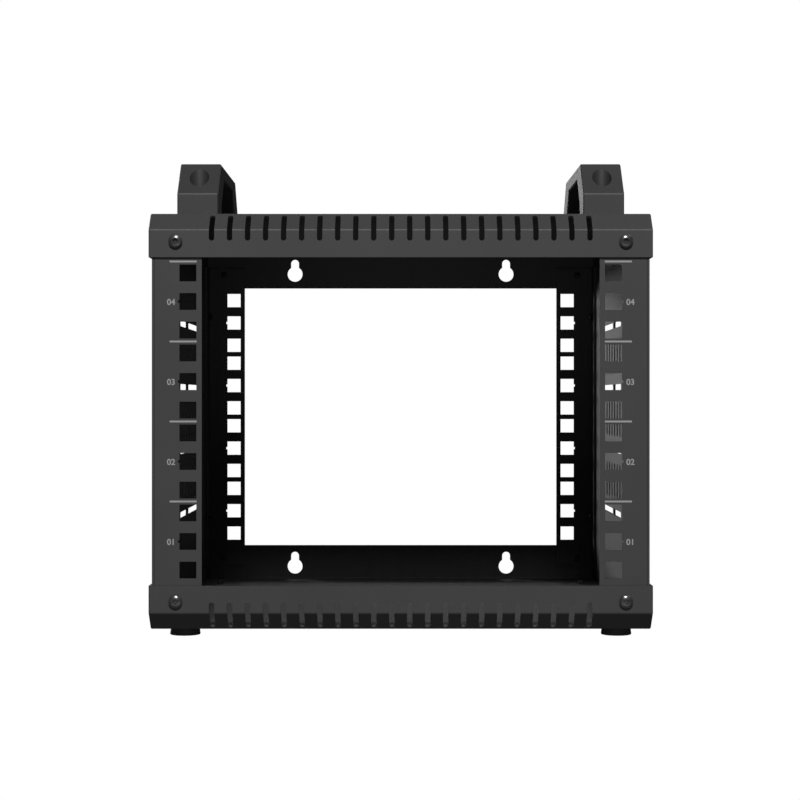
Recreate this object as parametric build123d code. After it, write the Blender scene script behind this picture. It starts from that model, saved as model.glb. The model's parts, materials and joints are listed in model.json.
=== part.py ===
from build123d import *
import math
import os

# Open-frame rack for ten-inch equipment, four units high, with two carrying handles.
# Millimetres. The origin is on the floor at the centre of the footprint, +Z is up,
# and the front faces -Y. Two folded trays close the top and the bottom, two vented
# side panels stand between them, and four angle rails carry the square holes.

# Equipment pattern
unit_height = 44.45
unit_count = 4
hole_column_spacing = 236.525
hole_side = 9.4
hole_from_unit_edge = 6.35
hole_step = 15.875
notch_depth = 0.8
notch_height = 1.6

# Main sizes
rail_face_depth = 300.0
unit_margin = 2.3
tray_height = 25.0
front_chamfer = 9.7

# Sheet metal
tray_sheet = 1.5
rail_sheet = 1.5
panel_sheet = 1.2
bend_inside = 0.5
front_fold_flat = 0.45
rim_chamfer = 0.5
panel_gap = 0.2
corner_gap = 0.3
rear_corner_cut = 1.0

# Rails, with the flange measured from the middle of its hole column
flange_inwards = 7.66
flange_outwards = 18.84
rail_bend_outside = 0.4
rail_leg = 18.0
rail_lap = 14.0

# Slots across the front bend of each tray
front_slot_pitch = 10.0
front_slot_width = 3.0
front_slot_start = 9.2
front_slot_end_margin = 1.7
front_slot_side_margin = 4.0
slot_corner_share = 0.3

# Keyholes in the back of each tray
keyhole_spacing = 150.0
keyhole_head = 10.6
keyhole_neck = 5.6
keyhole_rise = 7.5
top_keyhole_from_edge = 10.1
bottom_keyhole_from_edge = 15.0

# Side panel vents
vent_columns = 13
vent_column_pitch = 15.0
vent_slot_width = 6.0
vent_slot_length = 23.0
vent_rows = 3
vent_row_pitch = 40.0
long_vent_height = 4.0
long_vent_margin = 5.0
vent_divider = 5.0
middle_columns = 3

# Handles
handle_from_side = 18.8
handle_width = 24.5
handle_length = 140.0
handle_height = 39.0
handle_end_height = 19.0
handle_screw_from_end = 10.6
grip_thickness = 7.5
finger_gap_bottom = 94.0
finger_gap_top = 60.0
handle_edge_chamfer = 0.6
handle_bend_round = 1.6
handle_bore = 11.6
handle_bore_floor = 8.0

# Feet
foot_from_side = 15.7
foot_from_face = 42.0
foot_height = 7.0
foot_bottom_diameter = 17.5
foot_top_diameter = 15.8
foot_bore = 8.0
foot_bore_depth = 3.6
foot_sides = 24

# Screws
screw_shank = 4.0
screw_clearance = 0.2
screw_reach = 2.5
shank_sides = 8
head_sides = 12
head_rim_share = 0.35
head_slope = 40.0
socket_across_flats = 2.5
socket_depth = 1.2
corner_screw_outwards = 6.74
corner_screw_from_edge = 8.8
corner_screw_head = 7.6
corner_screw_head_height = 2.4
handle_screw_head = 8.0
handle_screw_head_height = 2.6
foot_screw_head = 7.0
foot_screw_head_height = 2.2
panel_screw_head = 6.0
panel_screw_head_height = 1.5
panel_screw_spacing = 140.0

# Sizes that follow from the ones above
bend_outside = bend_inside + tray_sheet
opening_height = unit_count * unit_height + 2 * unit_margin
body_height = opening_height + 2 * tray_height
middle_z = foot_height + body_height / 2
top_z = foot_height + body_height
tray_depth = rail_face_depth + 2 * tray_sheet
hole_column_x = hole_column_spacing / 2
flange_edge_x = hole_column_x - flange_inwards
panel_inside_x = hole_column_x + flange_outwards
panel_outside_x = panel_inside_x + panel_sheet
tray_outside_x = panel_outside_x + panel_gap + tray_sheet
panel_height = body_height - 2 * tray_sheet
rail_height = opening_height + 2 * rail_lap
front_slot_room = 2 * (flange_edge_x - front_slot_side_margin) - front_slot_width
front_slot_count = int(front_slot_room / front_slot_pitch) + 1
shank_hole = screw_shank + screw_clearance
corner_screw_x = hole_column_x + corner_screw_outwards
handle_x = tray_outside_x - handle_from_side
handle_screw_y = handle_length / 2 - handle_screw_from_end
finger_gap_height = handle_height - grip_thickness
finger_gap_side = finger_gap_height - (finger_gap_bottom - finger_gap_top) / 2
foot_x = tray_outside_x - foot_from_side
foot_y = rail_face_depth / 2 - foot_from_face
bend_shift = math.tan(math.radians(22.5))

SIDES = {"left": -1, "right": 1}
ENDS = {"front": -1, "rear": 1}


def both_ways(x, y, shape):
    """Four copies of a shape, at plus and minus x and y."""
    return [Pos(side * x, end * y, 0) * shape for side in (-1, 1) for end in (-1, 1)]


def tray_outline(inset, bend):
    """Tray seen from the side: its depth along X, its height along Y from the free edge."""
    front = -tray_depth / 2 + inset
    back = tray_depth / 2 - inset
    plate = tray_height - inset
    shift = inset * bend_shift
    outline = Polygon(
        (front, 0),
        (front, tray_height - front_chamfer - shift),
        (-tray_depth / 2 + front_chamfer + shift, plate),
        (back, plate),
        (back, 0),
        align=None)
    rear_fold = outline.vertices().filter_by(
        lambda vertex: vertex.X > 0 and vertex.Y > 0.1)
    return fillet(rear_fold, bend)


def slot_cutter(length, width, depth):
    """Cutter for a slot along Y with clipped ends, centred on the sheet's face."""
    outline = Rectangle(width, length)
    outline = chamfer(outline.vertices(), slot_corner_share * width)
    return extrude(outline, depth, both=True)


def shank_cutter(sheet):
    """Cutter for a screw's clearance hole along Z, through a sheet at the origin."""
    return extrude(RegularPolygon(shank_hole / 2, shank_sides), 1.5 * sheet, both=True)


def front_slot():
    """Cutter for one slot over the front bend: an upright cut and a slanted one."""
    lap = front_slot_width / 2
    depth = 1.2 * tray_sheet
    upright_length = tray_height - front_chamfer - front_slot_start + 2 * lap
    upright = Pos(0, 0, 2 * lap - upright_length / 2) * Rot(90, 0, 0) * slot_cutter(
        upright_length, front_slot_width, depth)
    slant_length = front_chamfer * math.sqrt(2) - front_slot_end_margin + lap
    slant = Rot(45, 0, 0) * Pos(0, slant_length / 2 - lap, 0) * slot_cutter(
        slant_length, front_slot_width, depth)
    return Pos(0, -tray_depth / 2, tray_height - front_chamfer) * (upright + slant)


def folded_tray():
    """Tray with its open side down, its free edge at z = 0, slotted at the front."""
    profile = tray_outline(0, bend_outside)
    front_folds = profile.vertices().filter_by(
        lambda vertex: vertex.X < 0 and vertex.Y > 0.1)
    profile = chamfer(front_folds, front_fold_flat)
    shell = extrude(Plane.YZ * profile, tray_outside_x, both=True)
    rim = shell.faces().filter_by(Axis.X).edges().filter_by(
        lambda edge: edge.center().Z > 0.1)
    shell = chamfer(rim, rim_chamfer)
    hollow = extrude(Plane.YZ * tray_outline(tray_sheet, bend_inside),
                     tray_outside_x - tray_sheet, both=True)

    slot = front_slot()
    first = -(front_slot_count - 1) / 2 * front_slot_pitch
    slots = [Pos(first + i * front_slot_pitch, 0, 0) * slot
             for i in range(front_slot_count)]
    screw_hole = Pos(0, 0, corner_screw_from_edge) * Rot(90, 0, 0) * shank_cutter(
        tray_sheet)
    screw_holes = both_ways(corner_screw_x, (tray_depth - tray_sheet) / 2, screw_hole)
    return shell - hollow - slots - screw_holes


def keyholes(height):
    """Cutters for the two keyholes in the back, necks up, from the large hole's middle."""
    through = 3 * tray_sheet
    head = Cylinder(keyhole_head / 2, through, rotation=(90, 0, 0))
    neck_end = Pos(0, 0, keyhole_rise) * Cylinder(
        keyhole_neck / 2, through, rotation=(90, 0, 0))
    neck = Pos(0, 0, keyhole_rise / 2) * Box(keyhole_neck, through, keyhole_rise)
    cut = Pos(0, (tray_depth - tray_sheet) / 2, height) * (head + neck + neck_end)
    return [Pos(side * keyhole_spacing / 2, 0, 0) * cut for side in (-1, 1)]


def plate_holes(x, y, height):
    return both_ways(x, y, Pos(0, 0, height) * shank_cutter(tray_sheet))


def top_tray():
    tray = folded_tray() - keyholes(top_keyhole_from_edge)
    tray -= plate_holes(handle_x, handle_screw_y, tray_height)
    return Pos(0, 0, top_z - tray_height) * tray


def bottom_tray():
    tray = mirror(folded_tray(), about=Plane.XY) - keyholes(-bottom_keyhole_from_edge)
    tray -= plate_holes(foot_x, foot_y, -tray_height)
    return Pos(0, 0, foot_height + tray_height) * tray


def vent_cutters():
    """Cutters for one side's vents, in the panel's own plane, about its middle."""
    upright = slot_cutter(vent_slot_length, vent_slot_width, panel_sheet)
    first_column = -(vent_columns - 1) / 2 * vent_column_pitch
    first_row = -(vent_rows - 1) / 2 * vent_row_pitch
    cuts = [Pos(first_column + i * vent_column_pitch, first_row + j * vent_row_pitch, 0)
            * upright for i in range(vent_columns) for j in range(vent_rows)]

    divider = middle_columns / 2 * vent_column_pitch
    end = -first_column + long_vent_margin
    stretches = [
        (-end, -divider - vent_divider / 2),
        (-divider + vent_divider / 2, divider - vent_divider / 2),
        (divider + vent_divider / 2, end)]
    for start, stop in stretches:
        long_vent = Rot(0, 0, 90) * slot_cutter(
            stop - start, long_vent_height, panel_sheet)
        for j in range(vent_rows + 1):
            height = first_row + (j - 0.5) * vent_row_pitch
            cuts.append(Pos((start + stop) / 2, height, 0) * long_vent)
    return cuts


def side_panel():
    """Vented side, on the right, its corners cut to fit inside the folded trays."""
    half_depth = rail_face_depth / 2
    half_height = panel_height / 2
    front_cut = front_chamfer - (1 - bend_shift) * tray_sheet + corner_gap
    sheet = Polygon(
        (-half_depth, front_cut - half_height),
        (front_cut - half_depth, -half_height),
        (half_depth - rear_corner_cut, -half_height),
        (half_depth, rear_corner_cut - half_height),
        (half_depth, half_height - rear_corner_cut),
        (half_depth - rear_corner_cut, half_height),
        (front_cut - half_depth, half_height),
        (-half_depth, half_height - front_cut),
        align=None)
    holes = both_ways(
        half_depth - rail_leg / 2, panel_screw_spacing / 2, shank_cutter(panel_sheet))
    panel = extrude(sheet, panel_sheet) - vent_cutters() - holes
    return Pos(panel_inside_x, 0, middle_z) * Plane.YZ.location * panel


def rail_hole_heights():
    """Heights of one rail's square holes, and whether each is the middle of its unit."""
    lowest_edge = middle_z - unit_count * unit_height / 2
    return [(lowest_edge + unit * unit_height + hole_from_unit_edge + step * hole_step,
             step == 1)
            for unit in range(unit_count) for step in range(3)]


def rail():
    """Angle rail at the front right: a pierced flange and a leg along the panel."""
    face = -rail_face_depth / 2
    outside = panel_inside_x
    angle = Polygon(
        (flange_edge_x, face),
        (outside, face),
        (outside, face + rail_leg),
        (outside - rail_sheet, face + rail_leg),
        (outside - rail_sheet, face + rail_sheet),
        (flange_edge_x, face + rail_sheet),
        align=None)
    outer_bend = angle.vertices().sort_by(Axis.Y)[:2].sort_by(Axis.X)[-1:]
    angle = fillet(outer_bend, rail_bend_outside)
    inner_bend = angle.vertices().filter_by(
        lambda vertex: abs(vertex.X - outside + rail_sheet) < 0.01
        and abs(vertex.Y - face - rail_sheet) < 0.01)
    angle = fillet(inner_bend, bend_inside)
    bar = Pos(0, 0, middle_z - rail_height / 2) * extrude(angle, rail_height)

    through = 3 * rail_sheet
    cuts = []
    for height, is_middle in rail_hole_heights():
        cuts.append(Pos(hole_column_x, face, height) * Box(hole_side, through, hole_side))
        if is_middle:
            cuts.append(Pos(hole_column_x + hole_side / 2, face, height)
                        * Box(2 * notch_depth, through, notch_height))
    face_hole = Rot(90, 0, 0) * shank_cutter(rail_sheet)
    leg_hole = Rot(0, 90, 0) * shank_cutter(rail_sheet)
    for up in (-1, 1):
        face_height = middle_z + up * (opening_height / 2 + corner_screw_from_edge)
        cuts.append(Pos(corner_screw_x, face, face_height) * face_hole)
        cuts.append(Pos(outside, face + rail_leg / 2,
                        middle_z + up * panel_screw_spacing / 2) * leg_hole)
    return bar - cuts


def handle():
    """Carrying handle over X = 0: a bridge front to back, slanted outside and inside."""
    end = handle_length / 2
    slant = handle_height - handle_end_height
    bridge = Polygon(
        (-end, 0),
        (-end, handle_end_height),
        (slant - end, handle_height),
        (end - slant, handle_height),
        (end, handle_end_height),
        (end, 0),
        align=None)
    bridge = fillet(
        bridge.vertices().filter_by(lambda vertex: vertex.Y > 0.1), handle_bend_round)
    finger_gap = Polygon(
        (-finger_gap_bottom / 2, 0),
        (-finger_gap_bottom / 2, finger_gap_side),
        (-finger_gap_top / 2, finger_gap_height),
        (finger_gap_top / 2, finger_gap_height),
        (finger_gap_bottom / 2, finger_gap_side),
        (finger_gap_bottom / 2, 0),
        align=None)
    body = extrude(Plane.YZ * (bridge - finger_gap), handle_width / 2, both=True)
    rim = body.faces().filter_by(Axis.X).edges().filter_by(
        lambda edge: edge.center().Z > 0.1)
    body = chamfer(rim, handle_edge_chamfer)
    bore = Pos(0, 0, handle_bore_floor) * Cylinder(
        handle_bore / 2, handle_height, align=(Align.CENTER, Align.CENTER, Align.MIN))
    cuts = [Pos(0, along * handle_screw_y, 0) * (bore + shank_cutter(handle_bore_floor))
            for along in (-1, 1)]
    return Pos(0, 0, top_z) * (body - cuts)


def foot():
    """Flared rubber foot on the origin, bored from below for its screw."""
    flare = (foot_bottom_diameter - foot_top_diameter) / 2
    body = extrude(RegularPolygon(foot_bottom_diameter / 2, foot_sides), foot_height,
                   taper=math.degrees(math.atan(flare / foot_height)))
    bore = extrude(RegularPolygon(foot_bore / 2, foot_sides), foot_bore_depth)
    return body - bore - shank_cutter(foot_height)


def screw(head_diameter, head_height, length):
    """Socket screw: head on the origin's plane and upwards, shank below."""
    rim = head_rim_share * head_height
    outline = RegularPolygon(head_diameter / 2, head_sides)
    crown = Pos(0, 0, rim) * extrude(outline, head_height - rim, taper=head_slope)
    socket = Pos(0, 0, head_height - socket_depth) * extrude(
        RegularPolygon(socket_across_flats / 2, 6, major_radius=False), socket_depth)
    shank = extrude(RegularPolygon(screw_shank / 2, shank_sides), -length)
    return extrude(outline, rim) + crown - socket + shank


def corner_screw():
    """Corner screw with its head towards -Y, bearing on the origin's plane."""
    length = tray_sheet + rail_sheet + screw_reach
    return Rot(90, 0, 0) * screw(corner_screw_head, corner_screw_head_height, length)


def handle_screw():
    length = handle_bore_floor + tray_sheet + screw_reach
    return screw(handle_screw_head, handle_screw_head_height, length)


def foot_screw():
    """Foot screw with its head down."""
    length = foot_height - foot_bore_depth + tray_sheet + screw_reach
    return Rot(180, 0, 0) * screw(foot_screw_head, foot_screw_head_height, length)


def panel_screws():
    """The two screws that hold a panel to one rail leg, heads towards +X."""
    length = panel_sheet + rail_sheet + screw_reach
    one = Rot(0, 90, 0) * screw(panel_screw_head, panel_screw_head_height, length)
    return [Pos(0, 0, up * panel_screw_spacing / 2) * one for up in (-1, 1)]


def all_parts():
    """Every piece in its place, by its name."""
    parts = {"top_tray": top_tray(), "bottom_tray": bottom_tray()}

    right_panel = side_panel()
    front_right_rail = rail()
    centred_handle = handle()
    one_foot = foot()
    front_screw = corner_screw()
    one_handle_screw = handle_screw()
    one_foot_screw = foot_screw()
    right_panel_screws = panel_screws()

    for side, x in SIDES.items():
        panel = right_panel if x > 0 else mirror(right_panel, about=Plane.YZ)
        parts[f"{side}_side_panel"] = panel
        parts[f"{side}_handle"] = Pos(x * handle_x, 0, 0) * centred_handle

    for end, y in ENDS.items():
        for side, x in SIDES.items():
            corner = f"{end}_{side}"
            a_rail = front_right_rail
            if y > 0:
                a_rail = mirror(a_rail, about=Plane.XZ)
            if x < 0:
                a_rail = mirror(a_rail, about=Plane.YZ)
            parts[f"{corner}_rail"] = a_rail

            foot_place = Pos(x * foot_x, y * foot_y, 0)
            parts[f"{corner}_foot"] = foot_place * one_foot
            parts[f"{corner}_foot_screw"] = (
                foot_place * Pos(0, 0, foot_bore_depth) * one_foot_screw)
            parts[f"{corner}_handle_screw"] = Pos(
                x * handle_x, y * handle_screw_y,
                top_z + handle_bore_floor) * one_handle_screw

            turned = front_screw if y < 0 else Rot(0, 0, 180) * front_screw
            for level, up in {"lower": -1, "upper": 1}.items():
                height = middle_z + up * (opening_height / 2 + corner_screw_from_edge)
                parts[f"{corner}_{level}_screw"] = Pos(
                    x * corner_screw_x, y * tray_depth / 2, height) * turned

            outward = Rot(0, 0, 0) if x > 0 else Rot(0, 0, 180)
            screw_place = Pos(x * panel_outside_x,
                              y * (rail_face_depth - rail_leg) / 2, middle_z)
            parts[f"{corner}_panel_screws"] = Compound(
                [screw_place * outward * one for one in right_panel_screws])
    return parts


os.makedirs("parts", exist_ok=True)
for name, shape in all_parts().items():
    export_step(shape, f"parts/{name}.step")
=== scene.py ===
"""Looks of a ten-inch open-frame rack: surfaces, detailed screws and feet, printed marks.

Lengths are in metres. The front faces -Y, and the feet stand on z = 0.
"""
import json
import math

import bmesh
import bpy
from mathutils import Matrix, Vector


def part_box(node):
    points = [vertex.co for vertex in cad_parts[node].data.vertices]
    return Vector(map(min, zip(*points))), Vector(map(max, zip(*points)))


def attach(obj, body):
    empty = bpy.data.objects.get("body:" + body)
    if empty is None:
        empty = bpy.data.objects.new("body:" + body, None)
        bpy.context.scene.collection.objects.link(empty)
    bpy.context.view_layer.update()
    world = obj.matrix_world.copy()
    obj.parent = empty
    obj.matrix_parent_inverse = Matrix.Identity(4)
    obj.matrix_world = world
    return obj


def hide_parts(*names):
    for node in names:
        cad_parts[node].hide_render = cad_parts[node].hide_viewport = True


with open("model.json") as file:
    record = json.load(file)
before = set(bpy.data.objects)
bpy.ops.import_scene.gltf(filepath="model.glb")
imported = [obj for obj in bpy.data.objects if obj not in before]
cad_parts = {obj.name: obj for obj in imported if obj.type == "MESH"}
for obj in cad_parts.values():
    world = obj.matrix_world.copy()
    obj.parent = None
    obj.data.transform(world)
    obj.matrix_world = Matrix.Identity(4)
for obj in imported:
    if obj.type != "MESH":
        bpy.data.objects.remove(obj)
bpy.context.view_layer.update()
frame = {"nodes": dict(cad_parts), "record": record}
nodes = frame["nodes"]

# The photograph: a level camera in front of the rack, a little left of and above its
# middle. Pixels are those of the picture, counted at the rails' front plane.
PHOTO_WIDTH = 800
PIXELS_PER_METRE = 1800.0
CAMERA_TO_RAILS = 1.075
CAMERA_LEFT_PX = 0.75
CAMERA_UP_PX = 21.5
SENSOR_WIDTH = 36.0
CLIP_START = 0.05

# Studio light. Area lights aim at a point over the middle of the footprint.
LIGHT_AIM = Vector((0, 0, 0.12))
ROOM_LIGHT = 0.045
BACKDROP_LIGHT = 1.0

# Rack pattern
UNIT_HEIGHT = 0.04445
UNIT_COUNT = 4

# Printed marks on the front rails
LINE_INNER_X = 0.1134
LINE_OUTER_X = 0.1284
LINE_THICKNESS = 0.001
DIGIT_HEIGHT = 0.00325
DIGIT_SHARE_OF_FONT_SIZE = 0.70
DIGIT_CENTRE_X = 0.1276
DIGIT_DROP = 0.00045
DIGIT_STROKE_GROWTH = 0.0001
INK_DEPTH = 0.00006

# Turned shapes
SEGMENTS = 48
SHARP_ANGLE = math.radians(32)

# Screws. HEAD_HEIGHTS are those of the solids, and they place the screws. A kind that
# is in DRAWN_HEAD_HEIGHTS too is drawn flatter, on the same plane.
HEAD_HEIGHTS = {"corner": 0.0024, "handle": 0.0026, "foot": 0.0022, "panel": 0.0015}
DRAWN_HEAD_HEIGHTS = {"panel": 0.0006}
HEAD_DOME_RADIUS = 0.0079
HEAD_DOME_STEPS = 6
HEAD_FLAT_RADIUS = 0.0018
HEAD_EDGE = 0.00015
SOCKET_FLATS = 6
SOCKET_RADIUS = 0.00125
SOCKET_DEPTH = 0.0013
SOCKET_LIP = 0.00012
SHANK_RADIUS = 0.002
THREAD_PITCH = 0.0007
THREAD_DEPTH = 0.0003

# Feet
FOOT_TOP_SHARE = 0.9
FOOT_EDGE = 0.0006
FOOT_EDGE_STEPS = 6
FOOT_BORE_RADIUS = 0.004
FOOT_BORE_DEPTH = 0.0036

# Linear colours
COAT_COLOUR = (0.042, 0.042, 0.0435, 1.0)
HANDLE_COLOUR = (0.034, 0.034, 0.0355, 1.0)
RUBBER_COLOUR = (0.03, 0.03, 0.031, 1.0)
SCREW_COLOUR = (0.085, 0.085, 0.0875, 1.0)
# Thread colour: darker than the heads, painted shade that keeps the screw tips inside the rack
# dark
SHADED_THREAD_COLOUR = (0.012, 0.012, 0.012, 1.0)
INK_COLOUR = (0.33, 0.33, 0.33, 1.0)

# The part of a noise's range that is spread over the whole of what it varies
NOISE_LOW = 0.35
NOISE_HIGH = 0.65


def noise(tree, scale, detail):
    """Noise over the object's own coordinates, in waves a metre."""
    where = tree.nodes.new("ShaderNodeTexCoord")
    texture = tree.nodes.new("ShaderNodeTexNoise")
    texture.inputs["Scale"].default_value = scale
    texture.inputs["Detail"].default_value = detail
    tree.links.new(where.outputs["Object"], texture.inputs["Vector"])
    return texture.outputs["Fac"]


def ramp(tree, value, low, high):
    """Maps a noise value onto a range of numbers."""
    node = tree.nodes.new("ShaderNodeMapRange")
    node.inputs["From Min"].default_value = NOISE_LOW
    node.inputs["From Max"].default_value = NOISE_HIGH
    node.inputs["To Min"].default_value = low
    node.inputs["To Max"].default_value = high
    tree.links.new(value, node.inputs["Value"])
    return node.outputs["Result"]


def tint(tree, value, colour, spread):
    """A colour that is darker or lighter by up to the given share."""
    node = tree.nodes.new("ShaderNodeMix")
    node.data_type = "RGBA"
    node.inputs["A"].default_value = [c * (1 - spread) for c in colour[:3]] + [1.0]
    node.inputs["B"].default_value = [c * (1 + spread) for c in colour[:3]] + [1.0]
    tree.links.new(ramp(tree, value, 0.0, 1.0), node.inputs["Factor"])
    return node.outputs["Result"]


def bump(tree, value, depth):
    """A surface normal that a noise's height bends."""
    node = tree.nodes.new("ShaderNodeBump")
    node.inputs["Distance"].default_value = depth
    tree.links.new(value, node.inputs["Height"])
    return node.outputs["Normal"]


def surface(name, colour, tone, spread, gloss, rough, grain=None, grain_depth=0.0,
            metallic=0.0, specular=0.5):
    """An opaque material. Tone, gloss and grain each give a noise's scale and detail.

    Tone varies the colour by the share spread, gloss varies the roughness over the range
    rough, and grain raises the surface by grain_depth.
    """
    material = bpy.data.materials.new(name)
    material.use_nodes = True
    tree = material.node_tree
    shader = tree.nodes["Principled BSDF"]
    shader.inputs["Metallic"].default_value = metallic
    shader.inputs["Specular IOR Level"].default_value = specular
    tree.links.new(tint(tree, noise(tree, *tone), colour, spread),
                   shader.inputs["Base Color"])
    tree.links.new(ramp(tree, noise(tree, *gloss), *rough), shader.inputs["Roughness"])
    if grain:
        tree.links.new(bump(tree, noise(tree, *grain), grain_depth),
                       shader.inputs["Normal"])
    return material


def powder_coat(name, rough):
    """Fine-textured powder coat, with a slight drift in tone and gloss."""
    return surface(name, COAT_COLOUR, tone=(14, 3), spread=0.06, gloss=(900, 2),
                   rough=rough, grain=(2600, 3), grain_depth=0.00004, specular=0.42)


def blackened_steel(name, colour, metallic, rough):
    """Blackened steel, a little uneven in tone."""
    return surface(name, colour, tone=(700, 2), spread=0.2, gloss=(4000, 2),
                   rough=rough, grain=(4000, 2), grain_depth=0.00001,
                   metallic=metallic)


COAT = powder_coat("powder_coat", rough=(0.5, 0.6))
PANEL_COAT = powder_coat("panel_coat", rough=(0.48, 0.58))
HANDLE = surface("handle_plastic", HANDLE_COLOUR, tone=(30, 2), spread=0.05,
                 gloss=(3400, 2), rough=(0.48, 0.58), grain=(3400, 2),
                 grain_depth=0.00003)
RUBBER = surface("foot_rubber", RUBBER_COLOUR, tone=(60, 2), spread=0.12,
                 gloss=(1800, 4), rough=(0.62, 0.8), grain=(1800, 4),
                 grain_depth=0.00005)
SCREW = blackened_steel("black_screw", SCREW_COLOUR, metallic=0.6, rough=(0.2, 0.3))
# The threads' dark colour is painted shade on the screw tips, not a finish that the screws
# have
SHADED_THREAD = blackened_steel("shaded_thread", SHADED_THREAD_COLOUR, metallic=0.0, rough=(0.6, 0.75))
INK = surface("marking_ink", INK_COLOUR, tone=(2200, 3), spread=0.1, gloss=(2200, 3),
              rough=(0.5, 0.65))

SLOT_MATERIALS = {
    "rack_metal": COAT,
    "panel_metal": PANEL_COAT,
    "handle_plastic": HANDLE,
    "foot_rubber": RUBBER,
    "screw_steel": SCREW,
}


def dress_cad_nodes():
    """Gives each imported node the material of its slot."""
    slots = {entry["node"]: entry["material_slot"] for entry in frame["record"]["subparts"]}
    for name, node in nodes.items():
        node.data.materials.clear()
        node.data.materials.append(SLOT_MATERIALS[slots[name]])


def add_to_scene(name, data):
    """A new object in the scene, with the given mesh, curve, camera or light."""
    thing = bpy.data.objects.new(name, data)
    bpy.context.scene.collection.objects.link(thing)
    return thing


def mesh_from(name, bm):
    """Turns a mesh that is being built into a finished one."""
    mesh = bpy.data.meshes.new(name)
    bm.to_mesh(mesh)
    bm.free()
    return mesh


def add_piece(name, mesh, material):
    """A piece of the rack, on its one body."""
    piece = add_to_scene(name, mesh)
    piece.data.materials.append(material)
    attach(piece, "root")
    return piece


def plate(bm, low, high):
    """Adds a box between two corners to a mesh."""
    size = [h - l for l, h in zip(low, high)]
    centre = [(l + h) / 2 for l, h in zip(low, high)]
    place = Matrix.Translation(centre) @ Matrix.Diagonal((*size, 1.0))
    bmesh.ops.create_cube(bm, size=1.0, matrix=place)


def rail_face(side):
    """Front plane of a front rail, and the height of the rack pattern's middle."""
    low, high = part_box(f"front_{side}_rail")
    return low.y, (low.z + high.z) / 2


def unit_lines(side, x_sign):
    """Printed lines at the top of each unit on a front rail."""
    face, middle = rail_face(side)
    left, right = sorted((x_sign * LINE_INNER_X, x_sign * LINE_OUTER_X))
    bm = bmesh.new()
    for i in range(UNIT_COUNT):
        height = middle + (UNIT_COUNT / 2 - i) * UNIT_HEIGHT
        plate(bm, (left, face - INK_DEPTH, height - LINE_THICKNESS / 2),
              (right, face, height + LINE_THICKNESS / 2))
    name = f"{side}_unit_lines"
    add_piece(name, mesh_from(name, bm), INK)


def text_mesh(name, text):
    """Flat text in the XY plane, centred on the origin."""
    curve = bpy.data.curves.new(name, "FONT")
    curve.body = text
    curve.size = DIGIT_HEIGHT / DIGIT_SHARE_OF_FONT_SIZE
    curve.align_x = "CENTER"
    curve.align_y = "CENTER"
    curve.extrude = INK_DEPTH / 2
    curve.offset = DIGIT_STROKE_GROWTH
    writing = add_to_scene(name, curve)
    bpy.context.view_layer.update()
    mesh = bpy.data.meshes.new_from_object(writing)
    bpy.data.objects.remove(writing)
    bpy.data.curves.remove(curve)
    return mesh


def unit_numbers(side, x_sign):
    """Printed numbers beside the middle hole of each unit, 01 at the bottom."""
    face, middle = rail_face(side)
    for unit in range(UNIT_COUNT):
        label = f"{unit + 1:02d}"
        name = f"{side}_number_{label}"
        height = middle + (unit + 0.5 - UNIT_COUNT / 2) * UNIT_HEIGHT - DIGIT_DROP
        place = Matrix.Translation((x_sign * DIGIT_CENTRE_X, face - INK_DEPTH / 2, height))
        mesh = text_mesh(name, label)
        mesh.transform(place @ Matrix.Rotation(math.pi / 2, 4, "X"))
        add_piece(name, mesh, INK)


def ring(bm, radius, height, flats=0):
    """Points about Z on a circle, or on a polygon where it has flats."""
    points = []
    for i in range(SEGMENTS):
        angle = 2 * math.pi * i / SEGMENTS
        reach = radius
        if flats:
            half = math.pi / flats
            reach = radius / math.cos((angle + half) % (2 * half) - half)
        points.append(bm.verts.new(
            (reach * math.cos(angle), reach * math.sin(angle), height)))
    return points


def skin(bm, rings, closed=False):
    """Joins a row of rings into one surface, closed on itself or capped."""
    followers = rings[1:] + rings[:1] if closed else rings[1:]
    for a, b in zip(rings, followers):
        for i in range(SEGMENTS):
            j = (i + 1) % SEGMENTS
            bm.faces.new((a[i], a[j], b[j], b[i]))
    if not closed:
        bm.faces.new(rings[-1])
        bm.faces.new(reversed(rings[0]))


def turned_mesh(name, bm):
    """Smooth mesh with its real edges kept sharp."""
    for face in bm.faces:
        face.smooth = True
    mesh = mesh_from(name, bm)
    mesh.set_sharp_from_angle(angle=SHARP_ANGLE)
    return mesh


def dome_drop(radius):
    """How far a screw head's dome has fallen at a distance from its middle."""
    return HEAD_DOME_RADIUS - math.sqrt(HEAD_DOME_RADIUS ** 2 - radius ** 2)


def thread_rings(bm, length):
    """Rings of a threaded shank, from its tip up to z = 0."""
    root = SHANK_RADIUS - THREAD_DEPTH
    rings = [ring(bm, root - THREAD_DEPTH, -length)]
    for turn in range(int(length / THREAD_PITCH)):
        height = -length + (turn + 0.5) * THREAD_PITCH
        rings.append(ring(bm, SHANK_RADIUS, height))
        rings.append(ring(bm, root, height + THREAD_PITCH / 2))
    rings.append(ring(bm, SHANK_RADIUS, 0))
    return rings


def head_rings(bm, radius, height):
    """Rings of a domed head on z = 0, from its rim to the floor of its socket."""
    crown = height + dome_drop(HEAD_FLAT_RADIUS)
    rings = [ring(bm, radius, 0),
             ring(bm, radius, crown - dome_drop(radius) - HEAD_EDGE)]
    outer = radius - HEAD_EDGE
    for i in range(HEAD_DOME_STEPS + 1):
        reach = outer + (HEAD_FLAT_RADIUS - outer) * i / HEAD_DOME_STEPS
        rings.append(ring(bm, reach, crown - dome_drop(reach)))
    rings.append(ring(bm, SOCKET_RADIUS + SOCKET_LIP, height, flats=SOCKET_FLATS))
    rings.append(ring(bm, SOCKET_RADIUS, height - SOCKET_LIP, flats=SOCKET_FLATS))
    rings.append(ring(bm, SOCKET_RADIUS, height - SOCKET_DEPTH, flats=SOCKET_FLATS))
    return rings


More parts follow.
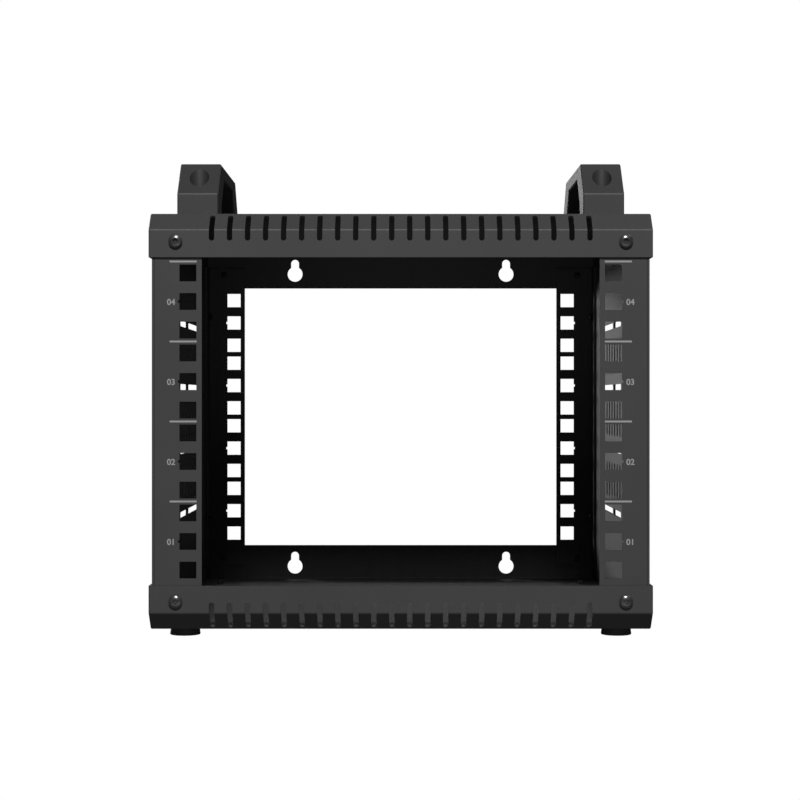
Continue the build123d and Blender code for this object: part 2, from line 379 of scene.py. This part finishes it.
def screw_mesh(head_radius, head_height, length):
    """Socket screw about Z: head above z = 0, thread below in the second material, whose dark
    colour is painted shade.
    """
    bm = bmesh.new()
    skin(bm, thread_rings(bm, length) + head_rings(bm, head_radius, head_height))
    for face in bm.faces:
        face.material_index = int(face.calc_center_median().z < 0)
    return mesh_from("screw", bm)


def screw_piece(node, kind, axis, centres):
    """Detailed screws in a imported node's place, seated as it is, heads towards the axis."""
    low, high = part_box(node)
    along = max(range(3), key=lambda i: abs(axis[i]))
    across = (along + 1) % 3
    head_radius = (high[across] - low[across]) / 2
    head_height = HEAD_HEIGHTS[kind]
    length = high[along] - low[along] - head_height
    outer_end = high[along] if axis[along] > 0 else low[along]
    turn = Vector((0, 0, 1)).rotation_difference(Vector(axis)).to_matrix().to_4x4()
    bm = bmesh.new()
    for centre in centres(low, high, head_radius):
        place = Vector(centre)
        place[along] = outer_end - axis[along] * head_height
        screw = screw_mesh(head_radius, DRAWN_HEAD_HEIGHTS.get(kind, head_height), length)
        screw.transform(Matrix.Translation(place) @ turn)
        bm.from_mesh(screw)
        bpy.data.meshes.remove(screw)
    name = f"{node}_detail"
    piece = add_piece(name, turned_mesh(name, bm), SCREW)
    # Second material: the threads, painted darker as shade
    piece.data.materials.append(SHADED_THREAD)
    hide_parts(node)


def one_in_middle(low, high, head_radius):
    """One screw, in the middle of its node's box."""
    return [(low + high) / 2]


def one_above_other(low, high, head_radius):
    """Two screws, at the bottom and the top of their node's box."""
    centre = (low + high) / 2
    return [(centre.x, centre.y, low.z + head_radius),
            (centre.x, centre.y, high.z - head_radius)]


def screws():
    """Every screw of the rack."""
    for end, y_sign in (("front", -1), ("rear", 1)):
        for side, x_sign in (("left", -1), ("right", 1)):
            corner = f"{end}_{side}"
            for level in ("lower", "upper"):
                screw_piece(f"{corner}_{level}_screw", "corner", (0, y_sign, 0), one_in_middle)
            screw_piece(f"{corner}_handle_screw", "handle", (0, 0, 1), one_in_middle)
            screw_piece(f"{corner}_foot_screw", "foot", (0, 0, -1), one_in_middle)
            screw_piece(f"{corner}_panel_screws", "panel", (x_sign, 0, 0), one_above_other)


def foot(node):
    """Flared rubber foot with a soft lower edge and a bore for its screw."""
    low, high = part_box(node)
    radius = (high.x - low.x) / 2
    height = high.z - low.z
    top = FOOT_TOP_SHARE * radius
    lip = FOOT_EDGE / 2
    bm = bmesh.new()
    rings = [
        ring(bm, SHANK_RADIUS, FOOT_BORE_DEPTH),
        ring(bm, FOOT_BORE_RADIUS, FOOT_BORE_DEPTH),
        ring(bm, FOOT_BORE_RADIUS, lip),
        ring(bm, FOOT_BORE_RADIUS + lip, 0)]
    for i in range(FOOT_EDGE_STEPS + 1):
        angle = math.pi / 2 * i / FOOT_EDGE_STEPS
        rings.append(ring(bm, radius - FOOT_EDGE * (1 - math.sin(angle)),
                          FOOT_EDGE * (1 - math.cos(angle))))
    rings.append(ring(bm, top + lip / 4, height - lip))
    rings.append(ring(bm, top - lip, height))
    rings.append(ring(bm, SHANK_RADIUS, height))
    skin(bm, rings, closed=True)
    centre = (low + high) / 2
    bmesh.ops.translate(bm, vec=(centre.x, centre.y, low.z), verts=bm.verts)
    name = f"{node}_detail"
    piece = add_piece(name, turned_mesh(name, bm), RUBBER)
    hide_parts(node)


def camera():
    """Level camera with the photograph's framing."""
    face, middle = rail_face("left")
    data = bpy.data.cameras.new("camera")
    data.sensor_width = SENSOR_WIDTH
    data.lens = PIXELS_PER_METRE * CAMERA_TO_RAILS / PHOTO_WIDTH * SENSOR_WIDTH
    data.clip_start = CLIP_START
    view = add_to_scene("camera", data)
    view.location = (
        -CAMERA_LEFT_PX / PIXELS_PER_METRE,
        face - CAMERA_TO_RAILS,
        middle + CAMERA_UP_PX / PIXELS_PER_METRE)
    view.rotation_euler = (math.pi / 2, 0, 0)
    bpy.context.scene.camera = view


def softbox(name, azimuth, elevation, distance, width, height, power):
    """Area light aimed at the rack. Azimuth 0 is in front, positive to the left."""
    data = bpy.data.lights.new(name, "AREA")
    data.shape = "RECTANGLE"
    data.size = width
    data.size_y = height
    data.energy = power
    turn, rise = math.radians(azimuth), math.radians(elevation)
    away = Vector((-math.sin(turn) * math.cos(rise),
                   -math.cos(turn) * math.cos(rise),
                   math.sin(rise)))
    lamp = add_to_scene(name, data)
    lamp.location = LIGHT_AIM + away * distance
    lamp.rotation_euler = away.to_track_quat("Z", "Y").to_euler()


def white(node, strength):
    """Makes a background node an even white, and gives its output."""
    node.inputs["Color"].default_value = (1, 1, 1, 1)
    node.inputs["Strength"].default_value = strength
    return node.outputs["Background"]


def studio():
    """White backdrop, seen by the camera only, and studio light."""
    world = bpy.data.worlds.new("studio")
    world.use_nodes = True
    tree = world.node_tree
    room = white(tree.nodes["Background"], ROOM_LIGHT)
    backdrop = white(tree.nodes.new("ShaderNodeBackground"), BACKDROP_LIGHT)
    path = tree.nodes.new("ShaderNodeLightPath")
    mix = tree.nodes.new("ShaderNodeMixShader")
    tree.links.new(path.outputs["Is Camera Ray"], mix.inputs["Fac"])
    tree.links.new(room, mix.inputs[1])
    tree.links.new(backdrop, mix.inputs[2])
    tree.links.new(mix.outputs["Shader"], tree.nodes["World Output"].inputs["Surface"])
    bpy.context.scene.world = world
    bpy.context.scene.view_settings.view_transform = "Standard"

    softbox("front_softbox", azimuth=0, elevation=38, distance=5.0,
            width=0.6, height=0.4, power=198)
    softbox("floor_bounce", azimuth=0, elevation=-20, distance=3.0,
            width=3.0, height=1.0, power=9)
    softbox("left_rear_softbox", azimuth=144, elevation=12, distance=1.8,
            width=0.8, height=0.8, power=14)
    softbox("rear_softbox", azimuth=180, elevation=34, distance=5.0,
            width=0.6, height=0.4, power=6)
    softbox("right_side_softbox", azimuth=-90, elevation=55, distance=3.0,
            width=1.5, height=1.0, power=12)


camera()
studio()
dress_cad_nodes()
for side, x_sign in (("left", -1), ("right", 1)):
    unit_lines(side, x_sign)
    unit_numbers(side, x_sign)
screws()
for end in ("front", "rear"):
    for side in ("left", "right"):
        foot(f"{end}_{side}_foot")
